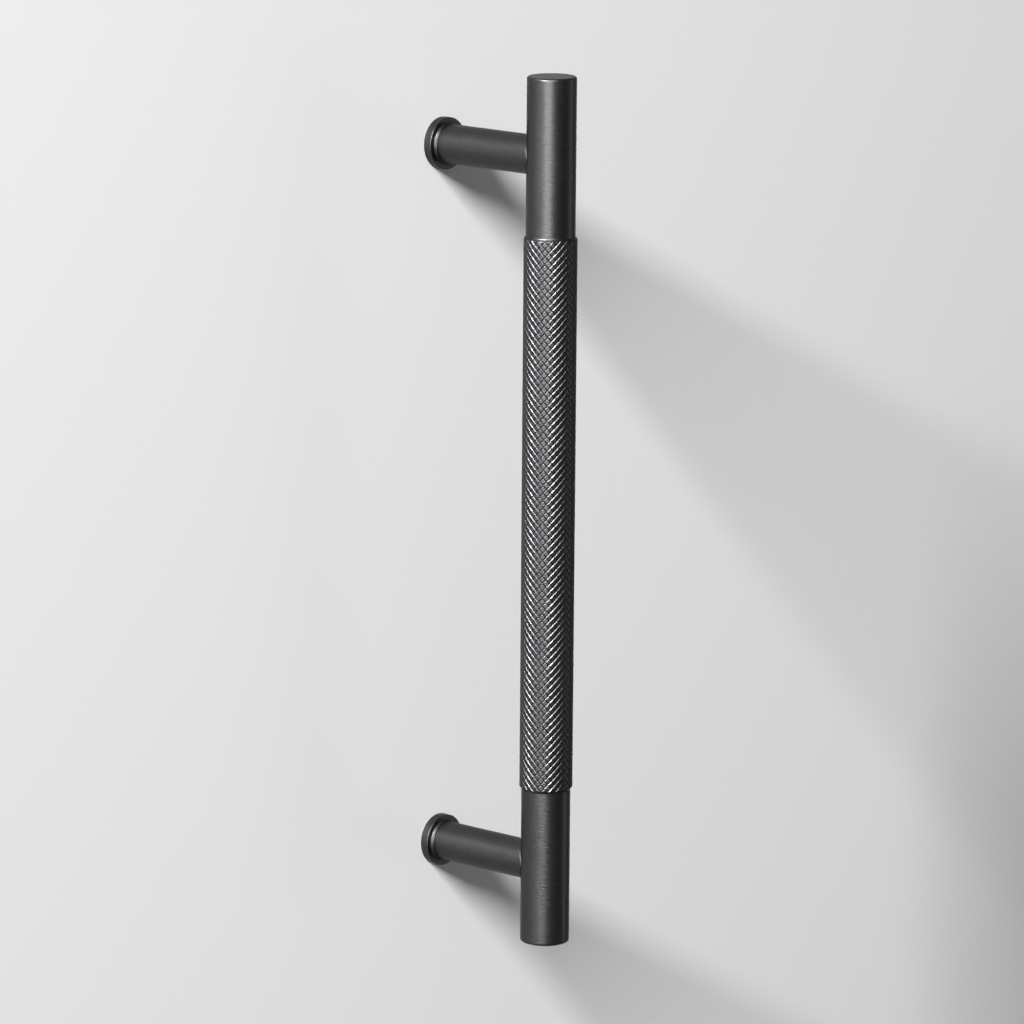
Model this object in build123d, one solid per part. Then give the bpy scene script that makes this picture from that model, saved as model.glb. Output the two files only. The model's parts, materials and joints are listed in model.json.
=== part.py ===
from build123d import *
import os
from math import cos, pi, radians, sin, tan

# Knurled bar pull for a cabinet door, in millimetres.
# The door face is the plane Y = 0 and the pull stands in front of it, towards -Y, with its bar upright.
# The origin is on the door face, midway between the two fixing screws.

# Bar
hole_spacing = 160.0  # between the two fixing screws, so between the posts
standoff = 32.5  # door face to the bar's axis
plain_length = 35.7  # each plain end of the bar, with its post in the middle
bar_diameter = 11.0  # plain ends
bar_end_round = 0.5

# Knurled grip
knurl_rise = 0.45  # the knurl's points above the plain ends
knurl_depth = 0.32  # points to valleys
knurl_pitch = 1.88  # from one point to the next, along the bar and round it
grip_ledge = 0.1  # plain step at each end of the grip, where its bevel starts

# Posts
post_diameter = 8.8
collar_ledge = 0.5  # collar beyond the post
collar_height = 0.7
foot_ledge = 0.95  # foot beyond the collar
foot_height = 2.05
foot_edge_break = 0.25
collar_edge_break = 0.2
saddle_edge_break = 0.25
saddle_clearance = 0.02  # between the post's saddle and the bar

# Holes for the fixing screws, at the size of the tapping drill
screw_thread = 4.0
screw_pitch = 0.7
screw_mouth_chamfer = 0.4
drill_point_angle = 118.0
post_web = 4.5  # metal left between the post's two holes

# Studs that hold the posts on the bar, at the size of the thread's core
stud_thread = 5.0
stud_pitch = 0.8
core_depth_in_pitches = 1.2269
stud_length = 12.0
stud_in_bar = 6.0
stud_end_clearance = 0.4
stud_chamfer = 0.4
socket_width = 2.5
socket_depth = 2.5

# Sizes that follow
bar_radius = bar_diameter / 2
bar_back = standoff - bar_radius  # door face to the back of the bar's plain ends
grip_length = hole_spacing - plain_length
knurl_radius = bar_radius + knurl_rise
valley_radius = knurl_radius - knurl_depth
ledge_radius = bar_radius + grip_ledge
knurl_columns = 2 * round(2 * pi * knurl_radius / knurl_pitch)
knurl_rings = 2 * round(grip_length / knurl_pitch)

post_radius = post_diameter / 2
collar_radius = post_radius + collar_ledge
foot_radius = collar_radius + foot_ledge
collar_front = foot_height + collar_height
saddle_radius = bar_radius + saddle_clearance

screw_drill_radius = (screw_thread - screw_pitch) / 2
stud_drill_radius = (stud_thread - stud_pitch) / 2
stud_core_radius = (stud_thread - core_depth_in_pitches * stud_pitch) / 2
tip_slope = 1 / tan(radians(drill_point_angle / 2))  # a drill point's length for each unit of its radius
stud_in_post = stud_length - stud_in_bar
bar_hole_depth = stud_in_bar + stud_end_clearance
post_hole_depth = stud_in_post + stud_end_clearance
drill_tips = tip_slope * (screw_drill_radius + stud_drill_radius)
screw_hole_depth = bar_back - post_hole_depth - drill_tips - post_web

from_base = (Align.CENTER, Align.CENTER, Align.MIN)


def off_the_door(reach, height):
    # A place on a post's axis, where +Z of what is put there points away from the door.
    return Location((0, -reach, height), (90, 0, 0))


def drilled_hole(radius, depth):
    # A blind hole from Z = 0 upwards that ends in the drill's point.
    outline = Polyline((0, 0), (radius, 0), (radius, depth), (0, depth + radius * tip_slope), close=True)
    return revolve(Plane.XZ * make_face(outline), Axis.Z)


def plain_end():
    # The upper plain end of the bar, with the stud's hole in its back.
    end = Pos(0, -standoff, grip_length / 2) * Cylinder(bar_radius, plain_length, align=from_base)
    end = fillet(end.edges().group_by(Axis.Z)[-1], bar_end_round)
    return end - off_the_door(bar_back, hole_spacing / 2) * drilled_hole(stud_drill_radius, bar_hole_depth)


def knurl_corner(ring, column):
    # Points and valleys take turns round each ring and from ring to ring, and the end rings are plain.
    if ring in (0, knurl_rings):
        radius = ledge_radius
    elif (ring + column) % 2:
        radius = valley_radius
    else:
        radius = knurl_radius
    turn = 2 * pi * column / knurl_columns
    height = grip_length * (ring / knurl_rings - 0.5)
    return Vector(radius * cos(turn), radius * sin(turn) - standoff, height)


def knurl_faces():
    # Four flat flanks round each point, folded along the grooves that run from valley to valley.
    faces = []
    for ring in range(knurl_rings):
        for column in range(knurl_columns):
            near = knurl_corner(ring, column)
            beside = knurl_corner(ring, column + 1)
            across = knurl_corner(ring + 1, column + 1)
            above = knurl_corner(ring + 1, column)
            if (ring + column) % 2:
                flanks = [(near, beside, across), (across, above, near)]
            else:
                flanks = [(above, near, beside), (beside, across, above)]
            faces += [Face(Wire.make_polygon(flank)) for flank in flanks]
    return faces


def grip_end(ring, plain_face):
    # The flat step from the plain end up to the first ring of the grip.
    rim = Wire.make_polygon([knurl_corner(ring, column) for column in range(knurl_columns)])
    return Face(rim, [plain_face.outer_wire()])


def knurled_bar():
    # One rod: the skin of the grip and of both plain ends, closed into a single solid.
    upper_faces = plain_end().faces().sort_by(Axis.Z)
    lower_faces = mirror(plain_end(), about=Plane.XY).faces().sort_by(Axis.Z)
    skin = knurl_faces()
    skin.append(grip_end(knurl_rings, upper_faces[0]))
    skin.append(grip_end(0, lower_faces[-1]))
    return Solid(Shell(skin + upper_faces[1:] + lower_faces[:-1]))


def turned_post():
    # A post on the Z axis with its foot on Z = 0 and a saddle that fits the bar at its other end.
    outline = Polyline(
        (0, 0),
        (foot_radius, 0),
        (foot_radius, foot_height),
        (collar_radius, foot_height),
        (collar_radius, collar_front),
        (post_radius, collar_front),
        (post_radius, standoff),
        (0, standoff),
        close=True,
    )
    profile = make_face(outline)
    broken_edges = (
        (foot_radius, foot_height, foot_edge_break),
        (collar_radius, collar_front, collar_edge_break),
    )
    for reach, height, edge_break in broken_edges:
        corner = profile.vertices().sort_by_distance((reach, height, 0))[0]
        profile = chamfer(corner, edge_break)
    post = revolve(Plane.XZ * profile, Axis.Z)

    post -= Location((0, 0, standoff), (90, 0, 0)) * Cylinder(saddle_radius, 2 * post_diameter)
    post = chamfer(post.faces().sort_by(Axis.Z)[-1].edges(), saddle_edge_break)

    mouth_radius = screw_drill_radius + screw_mouth_chamfer
    post -= drilled_hole(screw_drill_radius, screw_hole_depth)
    post -= Cone(mouth_radius, screw_drill_radius, screw_mouth_chamfer, align=from_base)
    stud_hole = drilled_hole(stud_drill_radius, bar_radius + post_hole_depth)
    post -= Location((0, 0, standoff), (180, 0, 0)) * stud_hole
    return post


def joining_stud():
    # A headless stud on the Z axis, with the key's socket in the end that goes into the post.
    stud = Cylinder(stud_core_radius, stud_length, align=from_base)
    stud = chamfer(stud.edges().filter_by(GeomType.CIRCLE), stud_chamfer)
    return stud - extrude(RegularPolygon(socket_width / 2, 6, major_radius=False), socket_depth)


os.makedirs("parts", exist_ok=True)
export_step(knurled_bar(), "parts/bar.step")
for side, height in (("upper", hole_spacing / 2), ("lower", -hole_spacing / 2)):
    export_step(off_the_door(0, height) * turned_post(), f"parts/{side}_post.step")
    export_step(off_the_door(bar_back - stud_in_post, height) * joining_stud(), f"parts/{side}_stud.step")
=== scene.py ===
import json
import math
import bmesh
import bpy
from mathutils import Matrix, Vector


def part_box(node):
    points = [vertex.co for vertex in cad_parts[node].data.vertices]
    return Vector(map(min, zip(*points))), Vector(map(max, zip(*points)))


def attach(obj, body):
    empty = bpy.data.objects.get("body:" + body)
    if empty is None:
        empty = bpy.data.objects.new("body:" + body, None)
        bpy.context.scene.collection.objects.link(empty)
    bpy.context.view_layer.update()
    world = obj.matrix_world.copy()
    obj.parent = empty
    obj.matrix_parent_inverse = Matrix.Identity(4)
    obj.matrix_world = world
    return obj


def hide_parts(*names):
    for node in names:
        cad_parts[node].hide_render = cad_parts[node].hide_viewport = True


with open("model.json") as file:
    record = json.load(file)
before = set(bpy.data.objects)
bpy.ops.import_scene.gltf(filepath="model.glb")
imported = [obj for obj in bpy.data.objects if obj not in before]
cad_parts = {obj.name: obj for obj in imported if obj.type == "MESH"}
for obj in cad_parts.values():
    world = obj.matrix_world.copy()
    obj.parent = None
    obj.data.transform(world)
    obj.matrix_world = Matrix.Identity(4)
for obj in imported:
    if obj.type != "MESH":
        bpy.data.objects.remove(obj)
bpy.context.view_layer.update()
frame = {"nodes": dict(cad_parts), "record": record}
print("frame loaded:", ", ".join(sorted(frame["nodes"])))

mm = 0.001
mergeDistance = 0.0005 * mm
across = Vector((1, 0, 0))
upwards = Vector((0, 0, 1))
offDoor = Vector((0, -1, 0))
barLow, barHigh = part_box("bar")
barAxis = Vector((0, (barLow.y + barHigh.y) / 2, 0))  # a point on the bar's axis
standoff = barAxis.dot(offDoor)
holeSpacing = frame["record"]["mounts"][0]["dims"]["spacing_y_mm"] * mm
drillSlope = 0.6  # length of a drill's point for each unit of its radius
sharpAngle = math.radians(30)


# a shader socket: sums and products of wires add Math nodes, make adds any other node
class Wire:
    def __init__(self, tree, socket=None):
        self.tree = tree
        self.socket = socket

    def make(self, kind, settings, sockets, output=0):
        node = self.tree.nodes.new("ShaderNode" + kind)
        for name, value in settings.items():
            setattr(node, name, value)
        for name, value in sockets.items():
            if isinstance(value, Wire):
                self.tree.links.new(value.socket, node.inputs[name])
            else:
                node.inputs[name].default_value = value
        return Wire(self.tree, node.outputs[output] if node.outputs else None)

    def maths(self, operation, first, second):
        return self.make("Math", {"operation": operation}, {0: first, 1: second})

    def __add__(self, other):
        return self.maths("ADD", self, other)

    def __radd__(self, other):
        return self.maths("ADD", other, self)

    def __sub__(self, other):
        return self.maths("SUBTRACT", self, other)

    def __rsub__(self, other):
        return self.maths("SUBTRACT", other, self)

    def __mul__(self, other):
        return self.maths("MULTIPLY", self, other)

    def __rmul__(self, other):
        return self.maths("MULTIPLY", other, self)


def newMaterial(name):
    material = bpy.data.materials.new(name)
    material.use_nodes = True
    material.node_tree.nodes.clear()
    return material, Wire(material.node_tree)


graphite = {
    "shade": (0.048, 0.048, 0.05, 1),
    "shadePale": (0.0585, 0.0585, 0.0608, 1),
    "roughness": 0.38,
    "edgeTint": (0.7, 0.7, 0.71, 1),  # dulls the mirror of glancing light
    "markLength": 1.7 * mm,  # the turning marks round each piece
    "markWidth": 0.32 * mm,
    "markDepth": 0.038 * mm,
    "bumpStrength": 0.8,
    "grainSize": 0.32 * mm,
    "cloudSize": 9 * mm,
    "shadeByMarks": 1.5,  # how far each pattern moves the shade and the roughness
    "shadeByCloud": 0.6,
    "roughByGrain": 0.08,
    "roughByMarks": 0.16,
    "roughByCloud": 0.06,
}


# dark plated metal, satin, with the fine marks of turning about an axis
def graphiteMetal(name, axis):
    look = graphite
    material, wire = newMaterial(name)
    place = wire.make("TexCoord", {}, {}, "Object")
    grain = wire.make("TexNoise", {}, {"Vector": place, "Scale": 1 / look["grainSize"], "Detail": 2.0})
    cloud = wire.make("TexNoise", {}, {"Vector": place, "Scale": 1 / look["cloudSize"], "Detail": 3.0})
    alongAxis = 1 / look["markWidth"] - 1 / look["markLength"]
    stretch = [1 / look["markLength"] + alongAxis * abs(part) for part in axis]
    turned = wire.make("Mapping", {}, {"Vector": place, "Scale": stretch})
    marks = wire.make("TexNoise", {}, {"Vector": turned, "Scale": 1.0, "Detail": 2.0})
    paleness = 0.5 + look["shadeByMarks"] * (marks - 0.5) + look["shadeByCloud"] * (cloud - 0.5)
    shade = wire.make(
        "Mix",
        {"data_type": "RGBA"},
        {"Factor": paleness, "A": look["shade"], "B": look["shadePale"]},
        "Result",
    )
    roughness = look["roughness"] + look["roughByGrain"] * (grain - 0.5)
    roughness = roughness + look["roughByMarks"] * (marks - 0.5) + look["roughByCloud"] * (cloud - 0.5)
    bump = wire.make(
        "Bump", {}, {"Strength": look["bumpStrength"], "Distance": look["markDepth"], "Height": marks}
    )
    metal = wire.make(
        "BsdfPrincipled",
        {},
        {
            "Base Color": shade,
            "Metallic": 1.0,
            "Roughness": roughness,
            "Specular Tint": look["edgeTint"],
            "Normal": bump,
        },
    )
    wire.make("OutputMaterial", {}, {"Surface": metal})
    return material


zincSteel = {
    "shade": (0.55, 0.55, 0.56, 1),
    "roughness": 0.35,
    "roughByCloud": 0.2,
    "cloudScale": 900.0,
}


# zinc-plated steel of the hidden studs
def studSteel():
    look = zincSteel
    material, wire = newMaterial("studSteel")
    place = wire.make("TexCoord", {}, {}, "Object")
    cloud = wire.make("TexNoise", {}, {"Vector": place, "Scale": look["cloudScale"], "Detail": 3.0})
    roughness = look["roughness"] + look["roughByCloud"] * (cloud - 0.5)
    metal = wire.make(
        "BsdfPrincipled",
        {},
        {"Base Color": look["shade"], "Metallic": 1.0, "Roughness": roughness},
    )
    wire.make("OutputMaterial", {}, {"Surface": metal})
    return material


def roundEdges(bm, edges, size, segments):
    bmesh.ops.bevel(
        bm,
        geom=edges,
        offset=size,
        offset_type="OFFSET",
        segments=segments,
        profile=0.5,
        affect="EDGES",
        clamp_overlap=True,
        material=-1,
    )


# a vertex's distance from an axis and its reach along it
def turnedPlace(vert, origin, axis):
    offset = vert.co - origin
    reach = offset.dot(axis)
    return (offset - axis * reach).length, reach


def ringEdges(bm, origin, axis, radius, reach):
    def onRing(vert):
        vertRadius, vertReach = turnedPlace(vert, origin, axis)
        return abs(vertRadius - radius) < mergeDistance and abs(vertReach - reach) < mergeDistance

    return [e for e in bm.edges if onRing(e.verts[0]) and onRing(e.verts[1])]


# spins a line of (radius, reach, rounding) corners about an axis, then rounds the rings that ask for it
def turnSkin(bm, corners, origin, axis, steps, roundSteps):
    line = []
    for index, (radius, reach, rounding) in enumerate(corners):
        corner = Vector((radius, reach))
        path = [corner]
        if rounding:
            before = Vector(corners[index - 1][:2]) - corner
            after = Vector(corners[index + 1][:2]) - corner
            # a ring on each side of the rounding keeps the faces beyond it flat in their shading
            stepBefore = rounding + min(rounding, before.length - rounding) / 4
            stepAfter = rounding + min(rounding, after.length - rounding) / 4
            path.insert(0, corner + before.normalized() * stepBefore)
            path.append(corner + after.normalized() * stepAfter)
        line += [bm.verts.new(origin + across * point.x + axis * point.y) for point in path]
    edges = [bm.edges.new(pair) for pair in zip(line, line[1:])]
    bmesh.ops.spin(
        bm, geom=line + edges, cent=origin, axis=axis, angle=2 * math.pi, steps=steps, use_merge=True
    )
    bmesh.ops.remove_doubles(bm, verts=bm.verts[:], dist=mergeDistance)
    for radius, reach, rounding in corners:
        if rounding:
            roundEdges(bm, ringEdges(bm, origin, axis, radius, reach), rounding, roundSteps)


def finishPiece(bm, name, material, node):
    bmesh.ops.remove_doubles(bm, verts=bm.verts[:], dist=mergeDistance)
    bmesh.ops.recalc_face_normals(bm, faces=bm.faces[:])
    mesh = bpy.data.meshes.new(name)
    bm.to_mesh(mesh)
    bm.free()
    mesh.shade_smooth()
    mesh.set_sharp_from_angle(angle=sharpAngle)
    mesh.materials.append(material)
    piece = bpy.data.objects.new(name, mesh)
    bpy.context.scene.collection.objects.link(piece)
    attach(piece, "root")
    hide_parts(node)
    print(name, "made,", len(mesh.polygons), "faces")


barShape = {
    "plainRadius": 5.5 * mm,
    "plainLength": 35.35 * mm,  # each plain end
    "endRound": 0.5 * mm,
    "endSegments": 6,
    "starts": 22,  # grooves of each hand
    "pitches": 73,  # diamonds along the grip
    "knurlTurn": math.radians(5),
    "grooveWidth": 0.38 * mm,
    "grooveDepth": 0.1235 * mm,
    "diamondRound": 0.135 * mm,
    "roundSegments": 3,
    "topBorder": 0.04 * mm,  # keeps the diamonds' tops flat in their shading
    "gripBevel": 0.55 * mm,  # length of the bevel at each end of the grip
    "bevelShare": 0.8,  # the part of that bevel below the knurl which is turned with the plain end
    "shoulderFillet": 0.17 * mm,  # at the foot of the bevel
    "segments": 88,
    "holeRadius": 2.1 * mm,  # the blind hole for each stud
    "holeDepth": 6.4 * mm,
    "patchHalf": 3 * mm,  # the square of faces that a hole is cut in
    "patchFaces": 16,
}


# the knurled skin of the grip between its bevels, returns half its length
def knurlGrip(bm, gripRadius, halfGrip):
    shape = barShape
    valleyRadius = gripRadius - shape["grooveDepth"]
    slope = (gripRadius - shape["plainRadius"]) / shape["gripBevel"]
    halfKnurl = halfGrip - (valleyRadius - shape["plainRadius"]) / slope
    rowStep = halfKnurl / shape["pitches"]
    side = Matrix.Rotation(shape["knurlTurn"], 3, upwards) @ across
    foot = bm.verts.new(barAxis + side * valleyRadius - upwards * halfKnurl)
    head = bm.verts.new(barAxis + side * valleyRadius + upwards * halfKnurl)
    line = bm.edges.new((foot, head))
    bmesh.ops.subdivide_edges(bm, edges=[line], cuts=2 * shape["pitches"] - 1)
    bmesh.ops.spin(
        bm,
        geom=bm.verts[:] + bm.edges[:],
        cent=barAxis,
        axis=upwards,
        angle=2 * math.pi,
        steps=2 * shape["starts"],
        use_merge=True,
    )

    def inGroove(vert):
        offset = vert.co - barAxis
        column = (math.atan2(offset.y, offset.x) - shape["knurlTurn"]) * shape["starts"] / math.pi
        row = (offset.z + halfKnurl) / rowStep
        return (round(column) + round(row)) % 2 == 1

    # grooves are drawn from crossing to crossing, which leaves one diamond round every other corner
    crossings = [v for v in bm.verts if inGroove(v)]
    middles = [v for v in bm.verts if not inGroove(v)]
    bmesh.ops.connect_verts(bm, verts=crossings)
    spokes = [e for v in middles if v.is_boundary for e in v.link_edges if not e.is_boundary]
    bmesh.ops.dissolve_edges(bm, edges=spokes, use_verts=False)
    bmesh.ops.dissolve_verts(bm, verts=[v for v in middles if not v.is_boundary])
    diamonds = bm.faces[:]
    bmesh.ops.inset_individual(bm, faces=diamonds, thickness=shape["grooveWidth"] / 2, use_even_offset=True)
    # the diamonds' tops rise to the grip's radius, or to the bevel at its ends
    for vert in {v for face in diamonds for v in face.verts}:
        radius, reach = turnedPlace(vert, barAxis, upwards)
        onAxis = barAxis + upwards * reach
        topRadius = min(gripRadius, valleyRadius + (halfKnurl - abs(reach)) * slope)
        vert.co = onAxis + (vert.co - onAxis) * topRadius / radius
    rims = list({e for face in diamonds for e in face.edges})
    whole = [face for face in diamonds if len(face.verts) == 4]
    bmesh.ops.inset_individual(bm, faces=whole, thickness=shape["diamondRound"] + shape["topBorder"])
    roundEdges(bm, rims, shape["diamondRound"], shape["roundSegments"])
    return halfKnurl


# how far a rod's surface falls back at a distance to the side of its middle
def fallBack(radius, sideways):
    return radius - math.sqrt(radius**2 - sideways**2)


# opens a square of faces in the bar's back and joins its rim to a drilled hole
def drillStudHole(bm, side):
    shape = barShape
    centre = upwards * side * holeSpacing / 2
    mouth = standoff - shape["plainRadius"]
    bottom = mouth + shape["holeDepth"]
    patchBack = shape["plainRadius"] * math.cos(math.pi * shape["patchFaces"] / shape["segments"])

    def inPatch(face):
        offset = face.calc_center_median() - barAxis - centre
        return abs(offset.z) < shape["patchHalf"] and offset.y > patchBack

    bmesh.ops.delete(bm, geom=[face for face in bm.faces if inPatch(face)], context="FACES")
    corners = [
        (0, bottom + shape["holeRadius"] * drillSlope, 0),
        (shape["holeRadius"], bottom, 0),
        (shape["holeRadius"], mouth, 0),
    ]
    turnSkin(bm, corners, centre, offDoor, 4 * shape["patchFaces"], 0)
    mouthEdges = ringEdges(bm, centre, offDoor, shape["holeRadius"], mouth)
    for vert in {v for edge in mouthEdges for v in edge.verts}:
        vert.co += offDoor * fallBack(shape["plainRadius"], vert.co.x)
    bmesh.ops.bridge_loops(bm, edges=[e for e in bm.edges if e.is_boundary])


def makeBar(material):
    shape = barShape
    bm = bmesh.new()
    gripRadius = (barHigh.x - barLow.x) / 2
    halfBar = (barHigh.z - barLow.z) / 2
    halfGrip = halfBar - shape["plainLength"]
    halfKnurl = knurlGrip(bm, gripRadius, halfGrip)
    plainRadius = shape["plainRadius"]
    bevelRadius = plainRadius + shape["bevelShare"] * (gripRadius - shape["grooveDepth"] - plainRadius)
    bevelReach = halfGrip + shape["bevelShare"] * (halfKnurl - halfGrip)
    faceStep = 2 * shape["patchHalf"] / shape["patchFaces"]
    patchStart = holeSpacing / 2 - shape["patchHalf"]
    patchRings = [patchStart + row * faceStep for row in range(shape["patchFaces"] + 1)]
    for side in (1, -1):
        corners = [
            (bevelRadius, side * bevelReach, 0),
            (plainRadius, side * halfGrip, shape["shoulderFillet"]),
            *[(plainRadius, side * reach, 0) for reach in patchRings],
            (plainRadius, side * halfBar, shape["endRound"]),
            (0, side * halfBar, 0),
        ]
        turnSkin(bm, corners, barAxis, upwards, shape["segments"], shape["endSegments"])
        rings = [
            e
            for e in bm.edges
            if e.is_boundary and all(v.co.z * side > halfKnurl - mergeDistance for v in e.verts)
        ]
        bmesh.ops.bridge_loops(bm, edges=rings)
    for side in (1, -1):
        drillStudHole(bm, side)
    finishPiece(bm, "knurledBar", material, "bar")


postShape = {
    "postRadius": 4.4 * mm,
    "collarRadius": 4.9 * mm,
    "collarFront": 2.75 * mm,
    "footHeight": 2.05 * mm,
    "footEdgeRound": 0.16 * mm,
    "backEdgeRound": 0.1 * mm,
    "collarSlope": (0.36 * mm, 0.4 * mm),  # inwards and along the post
    "collarEdgeRound": 0.08 * mm,
    "edgeSegments": 4,
    "saddleEdgeRound": 0.25 * mm,
    "saddleSegments": 3,
    "saddleGap": 0.02 * mm,
    "screwRadius": 1.65 * mm,
    "screwDepth": 13.85 * mm,
    "mouthChamfer": 0.4 * mm,
    "studRadius": 2.1 * mm,
    "studBottom": 20.6 * mm,
    "segments": 96,
}


def makePost(name, node, material):
    shape = postShape
    low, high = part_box(node)
    origin = Vector((0, 0, (low.z + high.z) / 2))
    footRadius = (high.x - low.x) / 2
    saddleRadius = barShape["plainRadius"] + shape["saddleGap"]
    saddleReach = standoff - saddleRadius
    edgeRoom = 2 * shape["saddleEdgeRound"]
    slopeIn, slopeBack = shape["collarSlope"]
    corners = [
        (0, shape["screwDepth"] + shape["screwRadius"] * drillSlope, 0),
        (shape["screwRadius"], shape["screwDepth"], 0),
        (shape["screwRadius"], shape["mouthChamfer"], 0),
        (shape["screwRadius"] + shape["mouthChamfer"], 0, 0),
        (footRadius, 0, shape["backEdgeRound"]),
        (footRadius, shape["footHeight"], shape["footEdgeRound"]),
        (shape["collarRadius"], shape["footHeight"], 0),
        (shape["collarRadius"], shape["collarFront"] - slopeBack, shape["collarEdgeRound"]),
        (shape["collarRadius"] - slopeIn, shape["collarFront"], 0),
        (shape["postRadius"], shape["collarFront"], 0),
        (shape["postRadius"], saddleReach - edgeRoom, 0),
        (shape["postRadius"], saddleReach, 0),
        (shape["postRadius"] - edgeRoom, saddleReach, 0),
        ((shape["postRadius"] + shape["studRadius"]) / 2, saddleReach, 0),
        (shape["studRadius"], saddleReach, 0),
        (shape["studRadius"], shape["studBottom"], 0),
        (0, shape["studBottom"] - shape["studRadius"] * drillSlope, 0),
    ]
    bm = bmesh.new()
    turnSkin(bm, corners, origin, offDoor, shape["segments"], shape["edgeSegments"])
    # the flat end slides along the post onto the curve of the bar
    rim = ringEdges(bm, origin, offDoor, shape["postRadius"], saddleReach)
    for vert in bm.verts:
        if turnedPlace(vert, origin, offDoor)[1] > saddleReach - edgeRoom - mergeDistance:
            vert.co += offDoor * fallBack(saddleRadius, vert.co.x)
    roundEdges(bm, rim, shape["saddleEdgeRound"], shape["saddleSegments"])
    finishPiece(bm, name, material, node)


makeBar(graphiteMetal("graphiteBar", upwards))
postMetal = graphiteMetal("graphitePost", offDoor)
makePost("upperPost", "upper_post", postMetal)
makePost("lowerPost", "lower_post", postMetal)
steel = studSteel()
for node in ("upper_stud", "lower_stud"):
    slots = frame["nodes"][node].data.materials
    slots.clear()
    slots.append(steel)
print("studs finished")


stageLook = {
    "wallSize": 4.0,
    "wallBehind": 0.02 * mm,
    "wallShade": (0.84, 0.845, 0.85, 1),
    "wallRoughness": 0.4,
    "footHole": 5.6 * mm,  # the wall is open behind each foot, so that the back views see the screw holes
    "holeSegments": 64,
    "worldShade": (0.125, 0.125, 0.127, 1),
}


# a pale wall that shows from the front only
def makeWall():
    look = stageLook
    bm = bmesh.new()
    half = look["wallSize"] / 2
    upright = Matrix.Rotation(math.radians(90), 4, "X")
    bmesh.ops.create_circle(bm, segments=4, radius=half * math.sqrt(2), matrix=upright)
    for side in (1, -1):
        hole = Matrix.Translation(upwards * side * holeSpacing / 2) @ upright
        bmesh.ops.create_circle(bm, segments=look["holeSegments"], radius=look["footHole"], matrix=hole)
    bmesh.ops.triangle_fill(bm, edges=bm.edges[:], use_beauty=True)
    turnedAway = [face for face in bm.faces if face.normal.dot(offDoor) < 0]
    bmesh.ops.reverse_faces(bm, faces=turnedAway)
    bmesh.ops.translate(bm, verts=bm.verts[:], vec=-offDoor * look["wallBehind"])
    mesh = bpy.data.meshes.new("wall")
    bm.to_mesh(mesh)
    bm.free()
    material, wire = newMaterial("paleWall")
    paint = wire.make(
        "BsdfPrincipled", {}, {"Base Color": look["wallShade"], "Roughness": look["wallRoughness"]}
    )
    clear = wire.make("BsdfTransparent", {}, {})
    behind = wire.make("NewGeometry", {}, {}, "Backfacing")
    oneSided = wire.make("MixShader", {}, {0: behind, 1: paint, 2: clear})
    wire.make("OutputMaterial", {}, {"Surface": oneSided})
    mesh.materials.append(material)
    wall = bpy.data.objects.new("wall", mesh)
    bpy.context.scene.collection.objects.link(wall)


def makeWorld():
    world = bpy.data.worlds.new("studio")
    world.use_nodes = True
    world.node_tree.nodes["Background"].inputs["Color"].default_value = stageLook["worldShade"]
    bpy.context.scene.world = world


# turn and rise in degrees, the rest in metres and watts; a lamp lights the wall or shows in the metal
lamps = {
    "key": {
        "turn": -85, "rise": 36.5, "distance": 3.0,
        "width": 0.3, "height": 1.0, "power": 850.0, "lights": "wall",
    },
    "sheen": {
        "turn": -82, "rise": 33, "distance": 3.0,
        "width": 0.35, "height": 1.3, "power": 330.0, "lights": "metal",
    },
    "spark": {
        "turn": -49, "rise": 35.5, "distance": 2.0,
        "width": 0.6, "height": 0.5, "power": 26.0, "lights": "metal",
    },
    "strip": {
        "turn": -64, "rise": 3.3, "distance": 2.0,
        "width": 1.22, "height": 0.95, "power": 42.0, "lights": "metal",
    },
    "right": {
        "turn": 54, "rise": -4, "distance": 2.0,
        "width": 0.6, "height": 1.5, "power": 3.6, "lights": "metal",
    },
}


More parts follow.
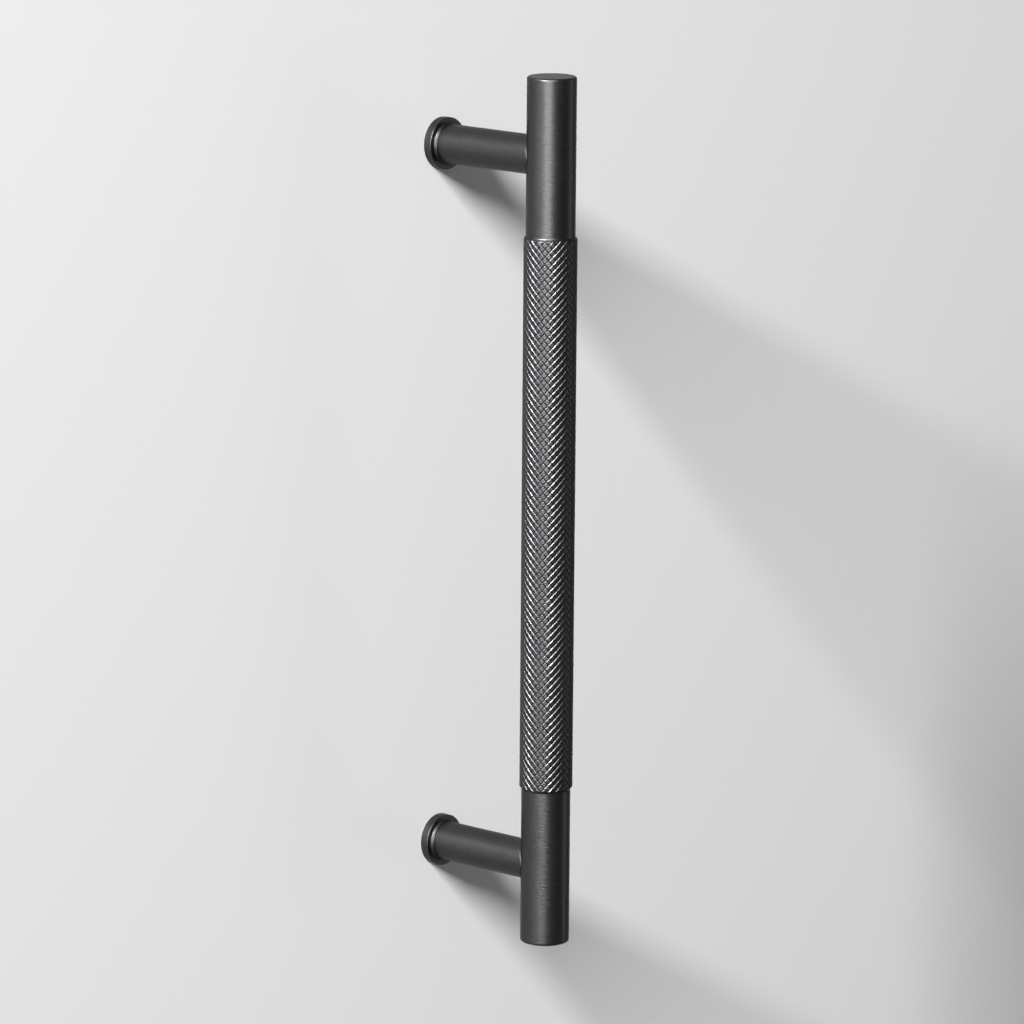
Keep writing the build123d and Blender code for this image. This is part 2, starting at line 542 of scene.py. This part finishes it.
# unit vector at a turn to the right of the wall's normal and a rise above the horizon, in degrees
def towards(turn, rise):
    turn = math.radians(turn)
    rise = math.radians(rise)
    return Vector((math.sin(turn) * math.cos(rise), -math.cos(turn) * math.cos(rise), math.sin(rise)))


def makeLamp(name, lamp):
    data = bpy.data.lights.new(name, "AREA")
    data.shape = "RECTANGLE"
    data.size = lamp["width"]
    data.size_y = lamp["height"]
    data.energy = lamp["power"]
    light = bpy.data.objects.new(name, data)
    light.visible_diffuse = lamp["lights"] == "wall"
    light.visible_glossy = lamp["lights"] == "metal"
    back = towards(lamp["turn"], lamp["rise"])
    facing = back.to_track_quat("Z", "Y").to_matrix().to_4x4()
    light.matrix_world = Matrix.Translation(barAxis + back * lamp["distance"]) @ facing
    bpy.context.scene.collection.objects.link(light)


cameraView = {
    "turn": -48.572,
    "rise": 11.59,
    "roll": 0.427,
    "distance": 1341.7 * mm,
    "slideRight": 4.134 * mm,
    "slideUp": -1.706 * mm,
    "focalPixels": 5998.0,
    "imageSize": 1024.0,
    "sensor": 36.0,
    "clipStart": 0.05,
    "clipEnd": 20.0,
}


def makeCamera():
    look = cameraView
    back = towards(look["turn"], look["rise"])
    level = towards(look["turn"] + 90, 0)
    rolled = Matrix.Rotation(math.radians(look["roll"]), 3, back)
    right = rolled @ level
    up = rolled @ back.cross(level)
    data = bpy.data.cameras.new("camera")
    data.sensor_width = look["sensor"]
    data.lens = look["focalPixels"] / look["imageSize"] * look["sensor"]
    data.clip_start = look["clipStart"]
    data.clip_end = look["clipEnd"]
    camera = bpy.data.objects.new("camera", data)
    spot = barAxis / 2 + back * look["distance"] + right * look["slideRight"] + up * look["slideUp"]
    turned = Matrix((right, up, back)).transposed().to_4x4()
    camera.matrix_world = Matrix.Translation(spot) @ turned
    bpy.context.scene.collection.objects.link(camera)
    bpy.context.scene.camera = camera


makeWall()
makeWorld()
for lampName, lampLook in lamps.items():
    makeLamp(lampName, lampLook)
makeCamera()
bpy.context.scene.view_settings.view_transform = "Standard"
print("stage, lamps and camera set")
